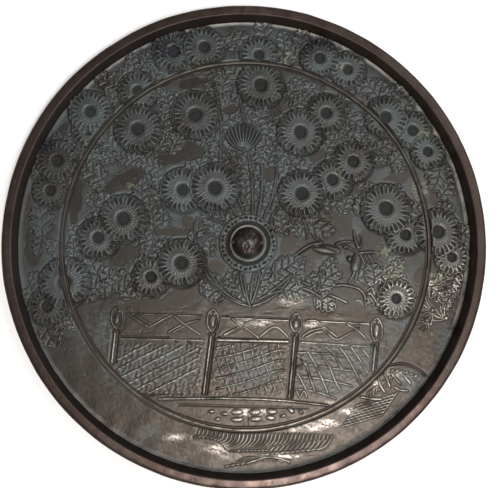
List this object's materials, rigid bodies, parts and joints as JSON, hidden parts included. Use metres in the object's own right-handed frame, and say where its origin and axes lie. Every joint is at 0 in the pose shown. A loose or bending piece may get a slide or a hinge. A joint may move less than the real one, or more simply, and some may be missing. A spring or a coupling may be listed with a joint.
{
  "type": "ancient bronze mirror",
  "caption": "Round cast bronze mirror, back up: chrysanthemums over a garden fence, birds and a stream in low relief, a pierced cord knob, a ring line and a raised rim.",
  "frame": {"origin": "centre of the flat underside, which is the polished face, on the surface the mirror lies on", "axes": "+Z out of the decorated back; +Y up the picture, from the fence to the blossoms; +X to the picture's right"},
  "size_m": [0.24, 0.24, 0.012],
  "materials": {
    "bronze_back": "cast bronze with a dark grey-green patina, brown on the plain ground and worn to metal on the high spots",
    "bronze_rim": "smooth brown-patinated bronze with a soft sheen, rubbed by handling",
    "bronze_face": "ground and once polished high-tin bronze, now dulled by a thin brown and green patina"
  },
  "bodies": {
    "root": {"mirror": "bronze_back"}
  },
  "joints": []
}
